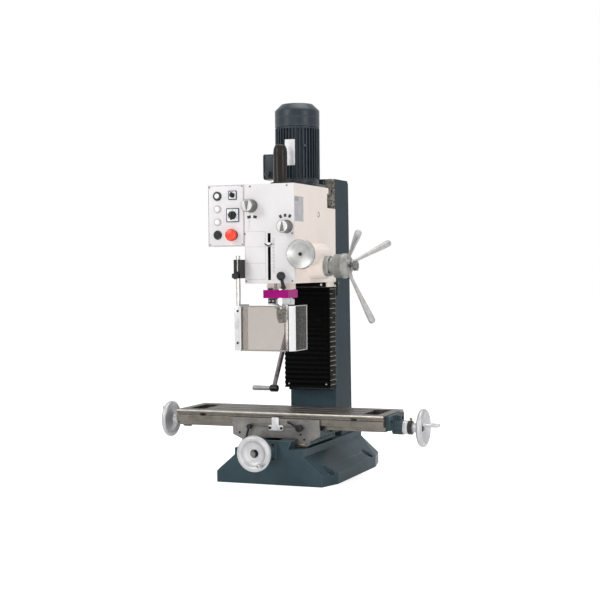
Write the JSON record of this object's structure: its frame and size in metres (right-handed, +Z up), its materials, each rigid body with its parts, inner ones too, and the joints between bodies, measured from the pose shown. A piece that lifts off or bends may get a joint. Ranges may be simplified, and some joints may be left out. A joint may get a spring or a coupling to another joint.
{
  "type": "milling and drilling machine",
  "caption": "Bench-height geared-head vertical milling and drilling machine with a dovetail column, cross table, quill feed and clear guard.",
  "frame": {"origin": "on the floor, straight under the spindle axis, on the base casting's underside rib", "axes": "+X to the operator's right, +Y back from the operator to the column, +Z up along the spindle axis"},
  "size_m": [1.084, 0.825, 1.37],
  "materials": {
    "base_paint": "blue-grey enamel on cast iron",
    "column_paint": "blue-grey enamel on cast iron",
    "black_steel": "blackened socket screws",
    "bracket_paint": "blue-grey enamel",
    "bellows_rubber": "matt black rubber, pleated",
    "screw_steel": "turned steel, oiled",
    "crank_steel": "turned steel, dull",
    "grip_metal": "turned and polished",
    "wheel_metal": "turned and polished",
    "saddle_iron": "ground and scraped iron",
    "bronze": "machined bronze",
    "stop_metal": "satin, bare",
    "lever_steel": "blackened",
    "table_iron": "fine ground iron",
    "head_paint": "pale grey-white enamel on cast iron",
    "panel_paint": "pale satin panel, bare",
    "motor_paint": "dark teal-grey enamel on aluminium",
    "cap_plastic": "dark satin plastic",
    "flange_steel": "turned, satin",
    "bearing_steel": "ground steel",
    "black_plastic": "moulded, satin",
    "quill_chrome": "ground and bright",
    "collar_paint": "magenta enamel",
    "pointer_plastic": "white with a black mark",
    "spindle_steel": "hardened and ground",
    "chuck_steel": "turned steel",
    "gear_steel": "machined steel",
    "handle_steel": "turned steel, satin",
    "clutch_metal": "fluted, dull",
    "knob_metal": "turned, with a dark pointer wedge",
    "rod_chrome": "bright drawn rod",
    "shield_clear": "clear sheet in a slim metal edge",
    "white_button": "white cap",
    "black_button": "black cap",
    "red_button": "red mushroom head"
  },
  "bodies": {
    "base": {"base_casting": "base_paint", "column": "column_paint", "column_bolts": "black_steel", "y_bracket": "bracket_paint", "bellows": "bellows_rubber"},
    "z_screw": {"z_screw": "screw_steel"},
    "z_crank": {"z_crank": "crank_steel"},
    "z_crank_grip": {"z_crank_grip": "grip_metal"},
    "y_screw": {"y_screw": "screw_steel", "y_handwheel": "wheel_metal"},
    "y_grip": {"y_grip": "grip_metal"},
    "saddle": {"saddle": "saddle_iron", "feed_nuts": "bronze", "table_stop": "stop_metal"},
    "table_lock_left": {"table_lock_left": "lever_steel"},
    "table_lock_right": {"table_lock_right": "lever_steel"},
    "table": {"table": "table_iron", "table_bracket_left": "bracket_paint", "table_bracket_right": "bracket_paint", "stop_dogs": "black_steel"},
    "x_screw": {"x_screw": "screw_steel", "x_handwheel_left": "wheel_metal", "x_handwheel_right": "wheel_metal"},
    "x_grip": {"x_grip": "grip_metal"},
    "head": {"head_casting": "head_paint", "front_panel": "panel_paint", "control_box": "head_paint", "control_panel": "panel_paint", "motor_housing": "motor_paint", "fan_cowl": "motor_paint", "drawbar_cap": "cap_plastic", "z_nut": "bronze", "pinion_flange": "flange_steel", "gear_bearings": "bearing_steel", "guard_bracket": "black_plastic"},
    "quill": {"quill": "quill_chrome", "quill_collar": "collar_paint", "depth_pointer": "pointer_plastic"},
    "spindle": {"spindle": "spindle_steel", "drill_chuck": "chuck_steel"},
    "motor_rotor": {"motor_rotor": "gear_steel"},
    "layshaft": {"layshaft": "gear_steel"},
    "sleeve_gear": {"sleeve_gear": "gear_steel"},
    "star_handle": {"pinion_shaft": "gear_steel", "star_handle": "handle_steel"},
    "clutch_knob": {"clutch_knob": "clutch_metal"},
    "worm_wheel": {"worm_wheel": "bronze"},
    "fine_feed_wheel": {"fine_feed_wheel": "wheel_metal"},
    "gear_knob_left": {"gear_knob_left": "knob_metal"},
    "gear_knob_right": {"gear_knob_right": "knob_metal"},
    "quill_lock": {"quill_lock": "lever_steel"},
    "head_lock": {"head_lock": "lever_steel"},
    "guard_rod": {"guard_rod": "rod_chrome"},
    "guard_shield": {"guard_shield": "shield_clear"},
    "guard_knob": {"guard_knob": "black_plastic"},
    "start_button": {"start_button": "white_button"},
    "stop_button": {"stop_button": "black_button"},
    "emergency_stop": {"emergency_stop": "red_button"},
    "speed_switch": {"speed_switch": "black_button"},
    "mode_switch": {"mode_switch": "black_button"}
  },
  "joints": [
    {"name": "head_lift", "type": "slide", "parent": "base", "child": "head", "axis": [0, 0, 1], "range_m": [-0.222, 0.1], "deforming": ["bellows"]},
    {"name": "z_crank_turn", "type": "hinge", "parent": "base", "child": "z_crank", "pos_m": [-0.131, 0.386, 0.532], "axis": [1, 0, 0], "range_deg": [-39970, 18010]},
    {"name": "z_screw_turn", "type": "hinge", "parent": "base", "child": "z_screw", "pos_m": [0, 0.386, 0.6], "axis": [0, 0, 1], "range_deg": [-9010, 19990]},
    {"name": "z_crank_grip_turn", "type": "hinge", "parent": "z_crank", "child": "z_crank_grip", "pos_m": [-0.18, 0.23182, 0.30428], "axis": [1, 0, 0], "continuous": true},
    {"name": "saddle_slide", "type": "slide", "parent": "base", "child": "saddle", "axis": [0, 1, 0], "range_m": [-0.148, 0.027]},
    {"name": "y_screw_turn", "type": "hinge", "parent": "base", "child": "y_screw", "pos_m": [0, 0, 0.126], "axis": [0, 1, 0], "range_deg": [-10666, 1954]},
    {"name": "y_grip_turn", "type": "hinge", "parent": "y_screw", "child": "y_grip", "pos_m": [0.042, -0.3, 0.093], "axis": [0, 1, 0], "continuous": true},
    {"name": "table_slide", "type": "slide", "parent": "saddle", "child": "table", "axis": [1, 0, 0], "range_m": [-0.225, 0.225]},
    {"name": "x_screw_turn", "type": "hinge", "parent": "table", "child": "x_screw", "pos_m": [0, 0.063, 0.1955], "axis": [1, 0, 0], "range_deg": [-16210, 16210]},
    {"name": "x_grip_turn", "type": "hinge", "parent": "x_screw", "child": "x_grip", "pos_m": [0.55, 0.018, 0.2125], "axis": [1, 0, 0], "continuous": true},
    {"name": "table_lock_left_turn", "type": "hinge", "parent": "saddle", "child": "table_lock_left", "pos_m": [-0.096, -0.08, 0.196], "axis": [0, 1, 0], "range_deg": [-6, 40]},
    {"name": "table_lock_right_turn", "type": "hinge", "parent": "saddle", "child": "table_lock_right", "pos_m": [0.096, -0.08, 0.196], "axis": [0, 1, 0], "range_deg": [-30, 40]},
    {"name": "quill_feed", "type": "slide", "parent": "head", "child": "quill", "axis": [0, 0, -1], "range_m": [0, 0.12], "stiffness_N_per_m": 250, "springref_m": -0.75},
    {"name": "star_handle_turn", "type": "hinge", "parent": "head", "child": "star_handle", "pos_m": [0.225, 0.058, 0.768], "axis": [1, 0, 0], "range_deg": [-0.5, 367.19]},
    {"name": "clutch_knob_turn", "type": "hinge", "parent": "star_handle", "child": "clutch_knob", "pos_m": [0.26, 0.058, 0.768], "axis": [1, 0, 0], "range_deg": [0, 360]},
    {"name": "fine_feed_turn", "type": "hinge", "parent": "head", "child": "fine_feed_wheel", "pos_m": [0.132, -0.14, 0.81], "axis": [0, 1, 0], "continuous": true},
    {"name": "worm_wheel_turn", "type": "hinge", "parent": "head", "child": "worm_wheel", "pos_m": [0.132, 0.058, 0.768], "axis": [1, 0, 0], "continuous": true},
    {"name": "motor_turn", "type": "hinge", "parent": "head", "child": "motor_rotor", "pos_m": [0, 0.1688, 1.1], "axis": [0, 0, 1], "continuous": true},
    {"name": "layshaft_turn", "type": "hinge", "parent": "head", "child": "layshaft", "pos_m": [0, 0.08375, 1], "axis": [0, 0, 1], "continuous": true},
    {"name": "sleeve_turn", "type": "hinge", "parent": "head", "child": "sleeve_gear", "pos_m": [0, 0, 1], "axis": [0, 0, 1], "continuous": true},
    {"name": "spindle_turn", "type": "hinge", "parent": "quill", "child": "spindle", "pos_m": [0, 0, 0.7], "axis": [0, 0, 1], "continuous": true},
    {"name": "gear_knob_left_turn", "type": "hinge", "parent": "head", "child": "gear_knob_left", "pos_m": [-0.067, -0.13, 0.983], "axis": [0, 1, 0], "range_deg": [-30, 30]},
    {"name": "gear_knob_right_turn", "type": "hinge", "parent": "head", "child": "gear_knob_right", "pos_m": [0.067, -0.13, 0.9075], "axis": [0, 1, 0], "range_deg": [-30, 30]},
    {"name": "quill_lock_turn", "type": "hinge", "parent": "head", "child": "quill_lock", "pos_m": [0, 0, 0.694], "axis": [0.4305, -0.9026, 0], "range_deg": [-20, 60]},
    {"name": "head_lock_turn", "type": "hinge", "parent": "head", "child": "head_lock", "pos_m": [0.1, 0.296, 0.703], "axis": [1, 0, 0], "range_deg": [-60, 60]},
    {"name": "guard_height", "type": "slide", "parent": "head", "child": "guard_rod", "axis": [0, 0, 1], "range_m": [0, 0.06]},
    {"name": "guard_swing", "type": "hinge", "parent": "guard_rod", "child": "guard_shield", "pos_m": [-0.108, -0.138, 0.55], "axis": [0, 0, 1], "range_deg": [-110, 0]},
    {"name": "guard_knob_turn", "type": "hinge", "parent": "head", "child": "guard_knob", "pos_m": [-0.108, -0.164, 0.736], "axis": [0, 1, 0], "range_deg": [0, 360]},
    {"name": "start_press", "type": "slide", "parent": "head", "child": "start_button", "axis": [0, 1, 0], "range_m": [0, 0.0025], "stiffness_N_per_m": 600, "springref_m": -0.003},
    {"name": "stop_press", "type": "slide", "parent": "head", "child": "stop_button", "axis": [0, 1, 0], "range_m": [0, 0.0025], "stiffness_N_per_m": 600, "springref_m": -0.003},
    {"name": "emergency_press", "type": "slide", "parent": "head", "child": "emergency_stop", "axis": [0, 1, 0], "range_m": [0, 0.0025]},
    {"name": "speed_switch_turn", "type": "hinge", "parent": "head", "child": "speed_switch", "pos_m": [-0.14, -0.12, 0.952], "axis": [0, 1, 0], "range_deg": [-60, 60]},
    {"name": "mode_switch_turn", "type": "hinge", "parent": "head", "child": "mode_switch", "pos_m": [-0.14, -0.12, 1.023], "axis": [0, 1, 0], "range_deg": [-60, 60]}
  ],
  "couplings": [
    {"joint": "z_crank_turn", "follows": "head_lift", "rad_per_m": 3141.6},
    {"joint": "z_screw_turn", "follows": "head_lift", "rad_per_m": -1570.8},
    {"joint": "y_screw_turn", "follows": "saddle_slide", "rad_per_m": 1256.6},
    {"joint": "x_screw_turn", "follows": "table_slide", "rad_per_m": 1256.6},
    {"joint": "star_handle_turn", "follows": "quill_feed", "rad_per_m": 53.333},
    {"joint": "worm_wheel_turn", "follows": "fine_feed_turn", "ratio": 0.041667},
    {"joint": "layshaft_turn", "follows": "motor_turn", "ratio": -0.36},
    {"joint": "sleeve_turn", "follows": "motor_turn", "ratio": 0.20093},
    {"joint": "spindle_turn", "follows": "motor_turn", "ratio": 0.20093}
  ]
}
